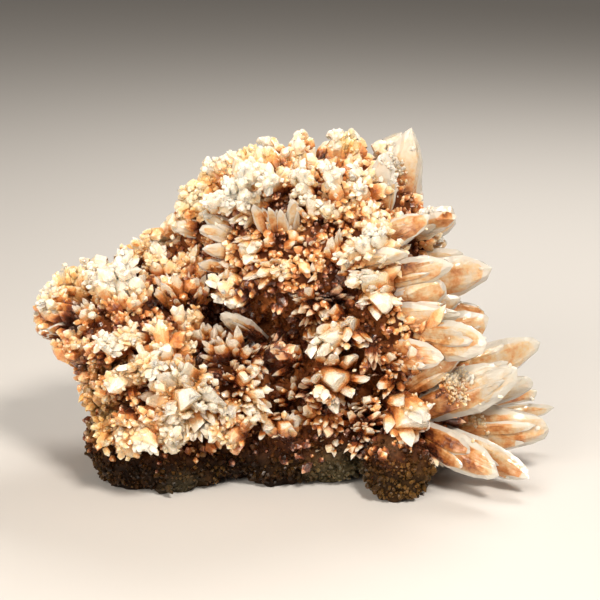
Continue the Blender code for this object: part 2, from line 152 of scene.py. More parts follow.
LEFT_LOW = [
    ((-48, -8, 28), (-55, -16, 33), 7), ((-47, -8, 29), (-52, -18, 38), 7),
    ((-46, -11, 25), (-52, -22, 29), 7), ((-42, -12, 30), (-43, -24, 40), 7),
    ((-43, -14, 21), (-48, -24, 24), 7), ((-42, -16, 16), (-47, -26, 17), 6),
    ((-39, -18, 17), (-42, -30, 15), 7), ((-36, -20, 20), (-35, -34, 18), 7),
    ((-38, -16, 25), (-39, -30, 32), 8),
]
LEDGE_MIDDLE = [
    ((-34, -14, 33), (-37, -22, 41), 7), ((-30, -12, 33), (-31, -18, 43), 7),
    ((-24, -12, 34), (-26, -18, 44), 7), ((-22, -12, 33), (-22, -24, 42), 6, "point"),
    ((-19, -12, 32), (-18, -20, 42), 6, "point"), ((-34, -18, 29), (-35, -32, 36), 7),
]
ROSETTE = [
    ((-25, -20, 23), (-35, -34, 27), 9), ((-24, -20, 23), (-31, -34, 35), 8),
    ((-24, -20, 24), (-23, -34, 38), 8), ((-24, -20, 23), (-16, -36, 30), 9),
    ((-24, -20, 22), (-20, -36, 18), 8), ((-25, -20, 22), (-29, -36, 22), 7),
    ((-25, -18, 22), (-24, -42, 31), 11),
]
LEDGE_RIGHT = [
    ((-14, -15, 30), (-18, -28, 40), 6), ((-13, -15, 30), (-14, -26, 41), 6),
    ((-13, -15, 30), (-9, -28, 39), 5), ((-8, -8, 35), (-16, -22, 45), 5, "blade"),
    ((-12, -18, 26), (-10, -34, 34), 6), ((-12, -18, 24), (-5, -34, 28), 6),
    ((-13, -18, 23), (-13, -34, 23), 7), ((-13, -18, 21), (-18, -32, 17), 6, "rough"),
    ((-10, -18, 22), (-8, -32, 22), 6), ((2, -8, 28), (-4, -22, 35), 5), ((-10, -12, 31), (-6, -28, 34), 5),
]
LOWER_MIDDLE = [
    ((7, -14, 16), (3, -28, 24), 5), ((6, -14, 15), (0, -26, 20), 5), ((9, -14, 18), (9, -28, 15), 6),
    ((18, -14, 14), (13, -26, 22), 5), ((18, -14, 14), (22, -26, 22), 5), ((18, -14, 13), (20, -28, 17), 5),
    ((17, -14, 11), (14, -26, 10), 5), ((10, -12, 11), (10, -24, 10), 5), ((-5, -16, 16), (-5, -30, 18), 6),
    ((1, -12, 20), (0, -28, 28), 5), ((20, -12, 19), (18, -26, 25), 5),
]
# All of them, with the habit of the rows that don't state one.
PLACED = [
    (RIGHT_BLADES, "blade"),
    (LOWER_RIGHT, "point"),
    (CENTRE, "point"),
    (FAN_AND_SHEAF, "blade"),
    (SKYLINE, "rough"),
    (DOME_FACE, "rough"),
    (LEFT_LEDGE, "rough"),
    (LEFT_SHOULDER, "rough"),
    (LEFT_LOW, "rough"),
    (LEDGE_MIDDLE, "rough"),
    (ROSETTE, "point"),
    (LEDGE_RIGHT, "point"),
    (LOWER_MIDDLE, "point"),
]

# Where the matrix stays bare: the dark recess under the dome, as an ellipsoid, and everything below a height.
RECESS_CENTRE = (-7, -16, 39)
RECESS_RADII = (15, 15, 8)
BARE_BELOW = 13.0
FILL_SPACING = 8.0
FILL_CLEARANCE = 2.4  # between the matrix under a placed crystal and the next filling one
FILL_SHORTEST = 6.0
BLADES_FROM = 15.0  # how far to the right a filling crystal can be a blade

# The outline that a viewer in front and a little above sees, as (across, up) from the point that they look at.
VIEW_TARGET = (2.5, 0, 42)
VIEW_DISTANCE = 500.0
VIEW_ANGLE = 16.0
PROFILE = [
    (-68, -2), (-60, 8), (-46, 12), (-38, 17), (-32, 18), (-30, 27), (-23, 35), (-11, 40), (0, 43),
    (28, 42), (30, 38), (30, 26), (39, 22), (36, 14), (47, 9), (42, -2), (48, -4), (44, -11),
    (58, -10), (62, -27), (55, -41), (51, -46), (32, -42), (-53, -35), (-56, -17), (-65, -8),
]

Crystal = namedtuple("Crystal", "root tip width habit roll")


def depth_in(point, centre, radii):
    """Below 1 inside the ellipsoid, 1 on it."""
    return math.sqrt(sum(((p - c) / r) ** 2 for p, c, r in zip(point, centre, radii)))


def even_directions(count):
    """Unit vectors spread evenly over the sphere."""
    turn = math.pi * (3 - math.sqrt(5))
    for i in range(count):
        z = 1 - (2 * i + 1) / count
        around = math.sqrt(1 - z * z)
        yield Vector((around * math.cos(turn * i), around * math.sin(turn * i), z))


def distance_to_axis(point, root, tip):
    """From a point to the line between a crystal's root and its tip."""
    axis = tip - root
    along = max(0.0, min(1.0, (point - root).dot(axis) / axis.length_squared))
    return (point - root - axis * along).length


def seen(points):
    """Where the viewer sees each point, as (across, up) in the plane of the point that they look at."""
    angle = math.radians(VIEW_ANGLE)
    away = np.asarray(points, float) - np.array(VIEW_TARGET)
    scale = VIEW_DISTANCE / (VIEW_DISTANCE + away[:, 1] * math.cos(angle) - away[:, 2] * math.sin(angle))
    return away[:, 0] * scale, (away[:, 1] * math.sin(angle) + away[:, 2] * math.cos(angle)) * scale


def in_shape(points, outline):
    """Whether the viewer sees each point inside the outline."""
    across, up = seen(points)
    inside = np.zeros(len(points), bool)
    for (x1, y1), (x2, y2) in zip(outline, outline[1:] + outline[:1]):
        if y1 != y2:
            crosses = (y1 > up) != (y2 > up)
            inside ^= crosses & (across < x1 + (up - y1) * (x2 - x1) / (y2 - y1))
    return inside


def filling_habit(point, normal, draw):
    """(habit, length, width) of a crystal that fills a gap, by the side of the specimen that it is on."""
    if normal.x > 0.45 and point.x > BLADES_FROM:
        return "blade", draw.uniform(16, 23), draw.uniform(8, 12)
    if normal.y > 0.4:
        return draw.choice(("point", "rough")), draw.uniform(10, 16), draw.uniform(9, 12)
    if normal.z > 0.35 or normal.x < -0.3:
        return "rough", draw.uniform(8.5, 12), draw.uniform(8, 10)
    return draw.choice(("point", "rough")), draw.uniform(8, 12), draw.uniform(6, 9)


def filling_crystals(placed, draw):
    """Crystals that cover the rest of the matrix, each roughly square to the lump under it."""
    found = []
    for name, centre, radii in CORE:
        centre, radii = Vector(centre), Vector(radii)
        area = 4 * math.pi * ((radii.x * radii.y + radii.x * radii.z + radii.y * radii.z) / 3)
        for direction in even_directions(int(area / (0.2 * FILL_SPACING**2))):
            point = centre + Vector(d * r for d, r in zip(direction, radii))
            normal = Vector(d / r for d, r in zip(direction, radii)).normalized()
            others = (lump for lump in CORE if lump[0] != name)
            if point.z < BARE_BELOW or any(depth_in(point, c, r) < 1 for _, c, r in others):
                continue
            if depth_in(point, RECESS_CENTRE, RECESS_RADII) < 1 or normal.z < -0.6:
                continue
            if any((point - crystal.root).length < FILL_SPACING for crystal in found):
                continue
            reach = ((distance_to_axis(point, p.root, p.tip), p.width) for p in placed)
            if any(distance < width / 2 + FILL_CLEARANCE for distance, width in reach):
                continue
            habit, length, width = filling_habit(point, normal, draw)
            lean = Vector((draw.gauss(0, 0.22), draw.gauss(0, 0.22), draw.gauss(0.08, 0.22)))
            axis = (normal + lean).normalized()
            while length > FILL_SHORTEST and not in_shape([point + axis * length], PROFILE)[0]:
                length *= 0.9
            if length > FILL_SHORTEST:
                roll = draw.uniform(-30, 30)
                found.append(Crystal(point, point + axis * length, width, habit, roll))
    return found


def all_crystals():
    """The placed crystals and those that fill the gaps between them."""
    draw = random.Random(SEED)
    placed = []
    for rows, usual in PLACED:
        for root, tip, width, *own in rows:
            habit = own[0] if own else usual
            placed.append(Crystal(Vector(root), Vector(tip), width, habit, draw.uniform(-15, 15)))
    return placed + filling_crystals(placed, draw)


def middle_of(crystals):
    """The point on the resting surface under the middle of the box round the crystals' tips."""
    across = [crystal.tip.x for crystal in crystals]
    deep = [crystal.tip.y for crystal in crystals]
    return Vector((min(across) + max(across), min(deep) + max(deep), 0)) / 2


# Blades that stand between the part's own: root, tip, width, roll.
SHORT_BLADES = [
    ((38, -6, 17), (61, -5, 22.5), 11, 20),
    ((18, -9, 49), (39, -17, 56), 10, 10),
    ((18, -10, 58), (34, -15, 67), 9, -20),
    ((20, -10, 41), (41, -18, 43), 10, 15),
    ((22, -12, 33), (37, -23, 34), 9, -10),
    ((14, -12, 55), (28, -22, 60), 8, 30),
]
# The crystals that the part has with those, and where the row's origin lies among them.
CRYSTALS = all_crystals()
ORIGIN = np.array(middle_of(CRYSTALS))
for root, tip, width, roll in SHORT_BLADES:
    CRYSTALS.append(Crystal(Vector(root), Vector(tip), width, "blade", roll))

# The outline in finer steps, for the small growth.
OUTLINE = [
    (-68, -2), (-65, 3), (-60, 9), (-54, 11), (-50, 9), (-46, 10), (-46, 13), (-42, 16), (-38, 18), (-33, 18),
    (-30, 15), (-32, 19), (-31, 28), (-27, 30), (-23, 36), (-15, 38), (-11, 41), (-7, 41), (-4, 36), (-2, 41),
    (0, 44), (2, 40), (4, 35), (6, 36), (8, 43), (13, 44), (15, 39), (16, 34), (18, 35), (23, 40), (28, 43),
    (31, 39), (30, 27), (32, 25), (36, 25), (39, 22), (36, 17), (38, 13), (43, 13), (48, 10), (47, 5), (42, 0),
    (48, -3), (47, -9), (45, -11), (55, -9), (59, -10), (58, -16), (60, -23), (63, -27), (63, -31), (59, -37),
    (56, -41), (57, -44), (51, -47), (44, -44), (35, -43), (31, -50), (-52, -50), (-54, -34), (-57, -17),
    (-61, -12), (-66, -8),
]
BOX_SLACK = 0.3  # how far past the part's own box a small crystal's tip may go
CLEAR_OF_REST = 0.4  # how far above what it rests on a tip stays


def in_row(points):
    """Points of the lists' own frame, in the row's frame and in metres."""
    return (np.asarray(points, float) - ORIGIN) * MM


def in_box(points):
    """Whether each point is inside the part's own box, and clear of what it rests on."""
    low, high = np.array(CAD_BOX)
    placed = in_row(points)
    inside = (placed > low - BOX_SLACK * MM) & (placed < high + BOX_SLACK * MM)
    return inside.all(axis=1) & (points[:, 2] > CLEAR_OF_REST)


# Places on the specimen, each a centre and a radius, and a strength where it isn't 1.

# Where the matrix shows between the crystals, brown and granular: centre and radii.
BARE_PLACES = [
    (RECESS_CENTRE, (15, 15, 8)),
    ((-1, -13, 28), (6, 10, 8)),
    ((-20, -9, 37), (6, 8, 5)),
    ((14, -11, 27), (15, 11, 9)),
    ((17, -10, 41), (9, 9, 6)),
    ((-4, -16, 18), (8, 12, 7)),
]
# Where few small crystals grow on the rock.
THIN_PLACES = [
    ((16, -12, 22), 20), ((14, -12, 42), 19), ((32, -8, 30), 14), ((30, -4, 46), 18), ((26, -6, 58), 12),
]
# Pockets of rust between the crystals, from the left to the right; they are partly painted shade, strongest in
# the recess under the dome.
RUST_AND_SHADE_POCKETS = [
    ((-52, -10, 39), 8, 0.95), ((-52, -12, 31), 8, 0.9), ((-50, -20, 22), 14, 0.75), ((-47, -15, 24), 7, 0.8),
    ((-46, -20, 33), 8, 0.5), ((-34, -8, 47), 6, 0.9), ((-27, -14, 50), 9, 0.9), ((-24, -20, 41), 5, 0.5),
    ((-22, -15, 35), 5, 0.9), ((-18, -8, 72), 3, 0.8), ((-17, -10, 69), 4, 1.0), ((-17, -16, 50), 5, 0.7),
    ((-16, -22, 30), 5, 0.8), ((-10, -20, 36), 8, 0.6), ((-8, -12, 75), 3, 0.8), (RECESS_CENTRE, 18, 1.2),
    ((-6, -22, 33), 9, 0.6), ((-4, -10, 54), 6, 0.7), ((-2, -20, 30), 8, 0.7), ((-1, -13, 72), 5, 0.9),
    ((2, -22, 46), 6, 0.5), ((4, -16, 60), 5, 0.5), ((4, -18, 28), 12, 0.7), ((9, -17, 47), 6, 0.9),
    ((12, -18, 48), 6, 0.5), ((14, -18, 36), 14, 0.8), ((16, -10, 18), 9, 0.5), ((16, -14, 30), 14, 0.8),
    ((20, -16, 34), 8, 0.5), ((20, -20, 18), 10, 0.7), ((22, -16, 44), 6, 0.5), ((24, 0, 52), 8, 0.3),
    ((32, -14, 24), 6, 1.0), ((34, -6, 37), 9, 0.4), ((37, -16, 22), 4, 1.0), ((40, -8, 13), 8, 0.3),
    ((46, -6, 35), 11, 0.5), ((56, -12, 13), 8, 0.25),
]
# Where the crystals are orange right out to their tips.
TAN_PLACES = [
    ((-56, -10, 34), 8, 0.8), ((-49, -24, 24), 17, 0.7), ((-42, -16, 44), 6, 0.4), ((-38, -18, 38), 7, 0.7),
    ((-34, -30, 24), 6, 0.5), ((-30, -22, 33), 5, 0.8), ((-26, -24, 37), 7, 0.7), ((-8, -14, 52), 7, 0.4),
    ((12, -16, 52), 8, 0.4),
]
# Where the crystals are whitest; on the dome's face they are also painted light.
WHITE_AND_LIT_PLACES = [
    ((-44, -6, 52), 12, 1.3), ((-31, 6, 57), 10), ((-25, -38, 30), 13), ((-15, -22, 44), 5, 2.0),
    ((-14, -20, 43), 8, 2.2), ((-14, -14, 66), 9), ((-14, -12, 57), 10), ((-4, -14, 79), 9),
    ((1, -16, 61), 16), ((8, -32, 42), 8, 1.4), ((12, -36, 31), 8, 1.4), ((14, -18, 78), 8),
    ((15, -26, 56), 7, 1.2), ((23, -26, 47), 7, 1.4), ((30, 2, 82), 10), ((31, -33, 19), 12, 2.2),
    ((32, -14, 48), 9), ((36, -8, 57), 9, 1.8), ((48, -8, 32), 8), ((54, 0, 50), 7), ((60, -20, 26), 9),
    ((64, -10, 12), 10),
]
# Where sugar grows thickly on the blades.
CRUSTS = [
    ((22, 0, 74), 9), ((24, 2, 64), 8), ((34, 4, 60), 6), ((27, -28, 21), 7), ((40, -16, 25), 6),
    ((44, -10, 12), 7), ((40, -20, 9), 6), ((40, 2, 20), 6),
]
# Lemon spots.
GOLD_SPOTS = [
    ((-54, 0, 44), 7), ((-48, -22, 18), 10), ((-44, -16, 24), 9), ((-40, 8, 50), 8), ((-24, -26, 30), 6),
    ((-22, 0, 68), 8), ((-8, 2, 78), 7), ((14, 2, 82), 5), ((27, -26, 3), 10), ((50, 2, 30), 4),
]
# Where the foot of the matrix is grey and clearer.
GREY_SPOTS = [
    ((-44, 0, 4), 7, 0.5), ((-26, -24, 0), 7, 0.5), ((-4, 30, 3), 12, 0.6), ((12, -20, 1), 11, 0.7),
    ((24, -26, 14), 5, 0.4),
]


# Fields over the specimen: a value for each of many points.


def smooth(values, low, high):
    """0 below low, 1 above high and an even rise between."""
    t = np.clip((values - low) / (high - low), 0, 1)
    return t * t * (3 - 2 * t)


def spots(points, places):
    """The strongest of the soft round spots at each point."""
    found = np.zeros(len(points))
    for centre, radius, *strength in places:
        near = 1 - np.linalg.norm(points - np.array(centre, float), axis=1) / radius
        found = np.maximum(found, np.clip(near * 1.6, 0, 1) * (strength[0] if strength else 1))
    return found


def slow_noise(points, size, seed, waves=7, height=2.6):
    """Smooth noise between about -1 and 1, from a few waves of different directions."""
    draw = np.random.default_rng(seed)
    total = np.zeros(len(points))
    for _ in range(waves):
        direction = draw.normal(size=3)
        direction *= math.tau / size / np.linalg.norm(direction) * draw.uniform(0.6, 1.6)
        total += np.sin(points @ direction + draw.uniform(0, math.tau))
    return total / height


CRYSTAL_REACH = 11.0  # about how far the large crystals stand out of the rock
DOME_SHORTER = 2.5  # how much less far they do on the dome
DOME_HEIGHTS = (45, 60)


def above_rock(points):
    """0 at the rock's lumps and below, 1 from about a crystal's length above them."""
    nearest = np.full(len(points), np.inf)
    for _, centre, radii in CORE:
        level = np.linalg.norm((points - np.array(centre, float)) / np.array(radii, float), axis=1)
        nearest = np.minimum(nearest, (level - 1) * min(radii))
    return np.clip(nearest / (CRYSTAL_REACH - DOME_SHORTER * smooth(points[:, 2], *DOME_HEIGHTS)), 0, 1)


ROWS_AT_ONCE = 20000  # of the table of distances, to spare memory


def apart(points):
    """How much nearer each point is to one large crystal's tip than to any other: little in gaps."""
    tips = np.array([crystal.tip for crystal in CRYSTALS])
    found = []
    for some in np.array_split(points, len(points) // ROWS_AT_ONCE + 1):
        away = np.linalg.norm(some[:, None] - tips, axis=2)
        nearest = np.partition(away, 1, axis=1)
        found.append(nearest[:, 1] - nearest[:, 0])
    return np.concatenate(found)


GAP = 1.3  # how much nearer the nearest tip is than the next, at most, in a gap between heads
GAP_LENGTHS = (1.6, 3.2)  # all crystals below the first length may stand in a gap, and none above the second


def in_gap(points, lengths, draw):
    """Whether each tip is in a gap between the heads, for crystals that are too long to stand there."""
    return (apart(points) < GAP) & (draw.random(len(points)) < smooth(lengths, *GAP_LENGTHS))


def bare(points):
    """Whether each point is where the matrix shows: low down, to an uneven height, and at BARE_PLACES."""
    found = points[:, 2] < BARE_BELOW + 3.5 * slow_noise(points, 16, 9)
    for centre, radii in BARE_PLACES:
        found |= np.linalg.norm((points - np.array(centre)) / np.array(radii), axis=1) < 1
    return found


# How rusty a habit's large crystals are at their roots, in the middles of their faces and in gaps; the rust at
# the roots and in the gaps is partly painted shade.
Look = namedtuple("Look", "rooted inner gaps")
LOOKS = {"blade": Look(0.50, 0.30, 0.0), "point": Look(0.75, 0.08, 0.16), "rough": Look(0.90, 0.0, 0.16)}
STAIN_EVERYWHERE = 0.06
STAIN_WAVES = [(22, 3, 0.10), (11, 5, 0.10), (6, 4, 0.12)]  # size, seed and strength of each slow swing
TONE_SWING = 0.22  # from a crystal to the next
GAP_RUST_AND_SHADE_WIDTH = 3.5


def stain_of(growth, look):
    """How rusty each point is, from 0 (white) to 1 (dark rust), with painted shade in the gaps, the recess and
    low down, and painted light at the top.
    """
    points = growth.points
    height = points[:, 2]
    # Rust towards the rock, deeper in the cluster, is partly painted shade.
    reach = 0.62 * above_rock(points) + 0.38 * growth.along
    stain = STAIN_EVERYWHERE + look.rooted * (1 - reach) ** 1.5 + look.inner * (1 - growth.rim)
    stain += sum(strength * slow_noise(points, size, seed) for size, seed, strength in STAIN_WAVES)
    # The gaps between the heads are darkened: partly rust, partly painted shade.
    stain += TONE_SWING * (growth.tone - 0.5) + look.gaps * (1 - smooth(apart(points), 0, GAP_RUST_AND_SHADE_WIDTH))
    # The pockets add rust and, in the recess under the dome, painted shade.
    stain += 0.75 * spots(points, RUST_AND_SHADE_POCKETS) * (1 - 0.75 * growth.along)
    # White places: whiter crystals, and painted light on the dome's face.
    stain += 0.26 * spots(points, TAN_PLACES) - 0.20 * spots(points, WHITE_AND_LIT_PLACES)
    # Painted shade darkens the lowest parts, and painted light pales the top.
    stain += 0.30 * smooth(-height, -18, 2) - 0.05 * smooth(height, 60, 80)
    return np.clip(stain, 0, 1)


# Meshes, joined from many crystals with numpy.

# Points, triangles, and for each point how far it is from root to tip, across the crystal and towards a
# pale rim, and the crystal's own random tone.
Growth = namedtuple("Growth", "points triangles along across rim tone")


def joined(growths):
    """Several growths as one."""
    counts = np.cumsum([0] + [len(growth.points) for growth in growths])
    triangles = np.concatenate([growth.triangles + first for growth, first in zip(growths, counts)])
    columns = [np.concatenate(column) for column in zip(*(growth[2:] for growth in growths))]
    return Growth(np.concatenate([growth.points for growth in growths]), triangles, *columns)


def mesh_of(name, growth):
    made = bpy.data.meshes.new(name)
    made.vertices.add(len(growth.points))
    made.vertices.foreach_set("co", in_row(growth.points).astype(np.float32).ravel())
    made.loops.add(growth.triangles.size)
    made.loops.foreach_set("vertex_index", growth.triangles.astype(np.int32).ravel())
    made.polygons.add(len(growth.triangles))
    made.polygons.foreach_set("loop_start", np.arange(0, growth.triangles.size, 3, dtype=np.int32))
    made.update(calc_edges=True)
    return made


def add_piece(name, growth, material, look=LOOKS["rough"], smooth_shaded=False):
    """A mesh object of the growth, riding on the root and standing for the part's node."""
    mesh = mesh_of(name, growth)
    if smooth_shaded:
        mesh.shade_smooth()
    else:
        mesh.shade_flat()
    values = {
        "stain": stain_of(growth, look),
        "along": growth.along,
        "across": growth.across,
        "rim": growth.rim,
        "tone": growth.tone,
        "gold": spots(growth.points, GOLD_SPOTS) * (0.1 + 0.9 * growth.along),
        "grey": spots(growth.points, GREY_SPOTS),
        "rust": spots(growth.points, RUST_AND_SHADE_POCKETS),
        # low: how far down a point is, for the painted shade at the rock's foot.
        "low": smooth(-growth.points[:, 2], -16, -6),
    }
    for key, value in values.items():
        mesh.attributes.new(key, "FLOAT", "POINT").data.foreach_set("value", value.astype(np.float32))
    mesh.materials.append(material)
    made = bpy.data.objects.new(name, mesh)
    bpy.context.scene.collection.objects.link(made)
    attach(made, "root")
    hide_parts(NODE)
    return made


# One crystal along +Z, of half width 1 and length 1, from which all are made.

# How a crystal swells from root to tip: (share of its length, share of its half width).
SWELLING = {
    "blade": ((0, 0.60), (0.46, 0.98), (0.72, 0.86), (0.90, 0.46)),
    "point": ((0, 0.70), (0.50, 1.0), (0.78, 0.68)),
    "rough": ((0, 0.80), (0.55, 1.0), (0.80, 0.74)),
    "bud": ((0, 0.72), (0.42, 1.0)),
    "grain": ((0, 0.85), (0.48, 1.0)),
}
ROOT_AT = -0.15
EDGE_PLAY = 0.10  # how far an edge wanders round the crystal, as a share of a face
RADIUS_PLAY = (0.94, 1.03)
HEIGHT_PLAY = 0.04
TIP_PLAY = 0.15
SECOND_EDGE = 0.93  # every second edge stands this much nearer the axis


def unit_crystal(habit, sides, draw):
    """A closed, slightly uneven crystal as bmesh, before flattening."""
    made = bmesh.new()
    rings = []
    for place, radius in SWELLING[habit]:
        verts = []
        for i in range(sides):
            angle = math.tau * (i + draw.uniform(-EDGE_PLAY, EDGE_PLAY)) / sides
            own = radius * (1.0 if i % 2 else SECOND_EDGE) * draw.uniform(*RADIUS_PLAY)
            rise = place + draw.uniform(-HEIGHT_PLAY, HEIGHT_PLAY) if place else ROOT_AT
            verts.append(made.verts.new((own * math.cos(angle), own * math.sin(angle), rise)))
        rings.append(verts)
    tip = made.verts.new((draw.uniform(-TIP_PLAY, TIP_PLAY), draw.uniform(-TIP_PLAY, TIP_PLAY), 1))
    made.faces.new(list(reversed(rings[0])))
    for low, high in zip(rings, rings[1:]):
        for i in range(sides):
            j = (i + 1) % sides
            made.faces.new((low[i], low[j], high[j], high[i]))
    for i in range(sides):
        made.faces.new((tip, rings[-1][i], rings[-1][(i + 1) % sides]))
    return made


def cut_off(made, place, normal, **side):
    """Cuts a bmesh at a plane and closes it there."""
    everything = made.verts[:] + made.edges[:] + made.faces[:]
    bmesh.ops.bisect_plane(made, geom=everything, plane_co=place, plane_no=normal, **side)
    opened = [edge for edge in made.edges if edge.is_boundary]
    if opened:
        bmesh.ops.holes_fill(made, edges=opened, sides=0)


def truncate(made, draw, cuts, deepest):
    """Shaves the tip and a few corners near it, as smaller faces do."""
    for i in range(cuts):
        turn = draw.uniform(0, math.tau)
        rise = draw.uniform(0.9, 1.5) if i == 0 else draw.uniform(0.2, 1.0)
        normal = Vector((math.cos(turn) * math.cos(rise), math.sin(turn) * math.cos(rise), math.sin(rise)))
        reach = max(vert.co.dot(normal) for vert in made.verts)
        cut_off(made, normal * (reach - draw.uniform(0.4, 1.0) * deepest), normal, clear_outer=True)
    bmesh.ops.recalc_face_normals(made, faces=made.faces)


def arrays_of(made):
    """(points, triangles) of a bmesh, which is freed."""
    bmesh.ops.triangulate(made, faces=made.faces[:])
    made.verts.index_update()
    points = np.array([vert.co for vert in made.verts])
    triangles = np.array([[vert.index for vert in face.verts] for face in made.faces])
    made.free()
    return points, triangles


def rim_of(points, habit):
    """How near a unit crystal's points are to its tip or, on a blade, to its broad side's edges, 0 to 1."""
    if habit != "blade":
        return smooth(points[:, 2], 0.4, 1.0)
    places, radii = zip(*SWELLING[habit])
    across = np.abs(points[:, 0]) / np.interp(points[:, 2], places, radii)
    return np.maximum(smooth(across, 0.30, 0.95), smooth(points[:, 2], 0.80, 1.0))


def template(habit, sides, draw, cuts, deepest):
    """(points, triangles, rim) of a unit crystal without its bottom, for the small ones."""
    made = unit_crystal(habit, sides, draw)
    truncate(made, draw, cuts, deepest)
    bottom = [face for face in made.faces if face.calc_center_median().z < ROOT_AT + 0.01]
    bmesh.ops.delete(made, geom=bottom, context="FACES_ONLY")
    points, triangles = arrays_of(made)
    return points, triangles, rim_of(points, habit)


def templates_of(draw):
    """The unit crystals that the small growth is made from."""
    return {
        "blades": [template("blade", SIDES, draw, 2, 0.10) for _ in range(6)],
        "points": [template("point", SIDES, draw, 4, 0.28) for _ in range(8)],
        "buds": [template("bud", SIDES, draw, cuts, 0.07) for cuts in (0, 0, 1, 1, 2, 2)],
        "knobs": [template("bud", SIDES, draw, 3, 0.20) for _ in range(6)],
        "grains": [template("grain", 4, draw, cuts, 0.18) for cuts in (1, 1, 1, 2, 2, 2)],
    }


# The part's own crystals.

# How wide and how long a large crystal's own body is among the slimmer ones that grow in it.
BODY = {"blade": (0.92, 1.0), "point": (0.90, 0.90), "rough": (0.72, 0.84)}
# The blunt ones that face the viewer, by their tips: how much wider their own bodies are.
HEADS = {
    (15, -26, 56): 1.35,
    (23, -26, 47): 1.5,
    (6, -32, 42): 1.2,
    (12, -36, 31): 1.25,
    (32, -34, 19): 1.2,
    (38, -14, 50): 1.1,
    (-16, -22, 45): 1.4,
}
BLUNTNESS = {"blade": 0.10, "point": 0.24, "rough": 0.12}  # how deep the small faces at a tip cut
CUTS = (6, 9)
ROUNDING = 0.035  # how wide the rounded edges are, as a share of the crystal's width
SUGAR_ROOM = (0, 0, 1.4)  # what a rough crystal at the skyline leaves for the sugar on it
INSIDE_ENOUGH = 0.97
SHRINK = 0.94
SHRINK_STEPS = 9


def crystal_frame(crystal):
    """Turns and places a crystal drawn along +Z, with its broad side across the view."""
    axis = (crystal.tip - crystal.root).normalized()
    away = Vector((0, 1, 0)) if abs(axis.y) < 0.95 else Vector((0, 0, 1))
    broad = axis.cross(away).normalized()
    turned = Matrix((broad, axis.cross(broad), axis)).transposed()
    spin = Matrix.Rotation(math.radians(crystal.roll), 3, "Z")
    return Matrix.Translation(crystal.root) @ (turned @ spin).to_4x4()


def shrunk_inside(points, crystal):
    """A rough crystal's points, drawn towards its root until there is room for sugar inside the outline."""
    root = np.array(crystal.root)
    for _ in range(SHRINK_STEPS if crystal.habit == "rough" else 0):
        if in_shape(points + SUGAR_ROOM, OUTLINE).mean() > INSIDE_ENOUGH:
            break
        points = root + (points - root) * SHRINK
    return points


def detailed(crystal, draw):
    """One of the part's crystals, with its corners shaved and its edges rounded off."""
    made = unit_crystal(crystal.habit, SIDES, draw)
    truncate(made, draw, draw.randint(*CUTS), BLUNTNESS[crystal.habit])
    slimness, shortness = BODY[crystal.habit]
    slimness *= HEADS.get(tuple(round(value) for value in crystal.tip), 1.0)
    length = (crystal.tip - crystal.root).length * shortness
    half = crystal.width / 2 * slimness
    size = np.array([half, half * FLATNESS[crystal.habit], length])
    for vert in made.verts:
        vert.co = Vector(np.array(vert.co) * size)
    bmesh.ops.dissolve_limit(made, angle_limit=0.01, verts=made.verts, edges=made.edges)
    bmesh.ops.bevel(
        made, geom=made.edges[:], offset=ROUNDING * crystal.width, segments=1, affect="EDGES", profile=0.5,
        clamp_overlap=True,
    )
    points, triangles = arrays_of(made)
    turned = np.array(crystal_frame(crystal))
    along = np.clip(points[:, 2] / length, 0, 1)
    placed = shrunk_inside(points @ turned[:3, :3].T + turned[:3, 3], crystal)
    rim = rim_of(points / size, crystal.habit)
    return Growth(placed, triangles, along, points[:, 0], rim, np.full(len(points), draw.random()))


# Many small crystals at once.

# One row each: root, axis and broad side (unit), length, half width, thickness to width, how far out on
# their parent they stand and a random tone.
Seeds = namedtuple("Seeds", "root axis side length half flat along tone")


def unit(vectors):
    return vectors / np.linalg.norm(vectors, axis=1, keepdims=True)


def chosen(seeds, keep):
    """The seeds at these rows."""
    return Seeds(*(column[keep] for column in seeds))


def seeds_of(crystals, draw):
    """The part's crystals as seeds."""
    frames = np.array([crystal_frame(crystal) for crystal in crystals])
    lengths = np.array([(crystal.tip - crystal.root).length for crystal in crystals])
    halves = np.array([crystal.width / 2 for crystal in crystals])
    flats = np.array([FLATNESS[crystal.habit] for crystal in crystals])
    zeros = np.zeros(len(crystals))
    tones = draw.random(len(crystals))
    return Seeds(frames[:, :3, 3], frames[:, :3, 2], frames[:, :3, 0], lengths, halves, flats, zeros, tones)


def grown(seeds, templates, draw, spread=0.45):
    """The seeds grown into crystals from the templates. spread is how far each goes towards a tip's look."""
    other = np.cross(seeds.axis, seeds.side)
    kinds = draw.integers(len(templates), size=len(seeds.root))
    growths = []
    for kind, (points, triangles, rim) in enumerate(templates):
        own = chosen(seeds, kinds == kind)
        if not len(own.root):
            continue
        x = points[None, :, 0] * own.half[:, None]
        y = points[None, :, 1] * (own.half * own.flat)[:, None]
        z = points[None, :, 2] * own.length[:, None]
        placed = own.root[:, None] + x[..., None] * own.side[:, None] + z[..., None] * own.axis[:, None]
        placed = placed + y[..., None] * other[kinds == kind][:, None]
        firsts = np.arange(len(own.root))[:, None, None] * len(points)
        share = np.clip(points[:, 2], 0, 1)[None]
        along = own.along[:, None] + spread * (1 - own.along[:, None]) * share
        rims = np.tile(rim, len(own.root))
        tones = np.repeat(own.tone, len(points))
        faces = (triangles[None] + firsts).reshape(-1, 3)
        growths.append(Growth(placed.reshape(-1, 3), faces, along.reshape(-1), x.reshape(-1), rims, tones))
    return joined(growths)


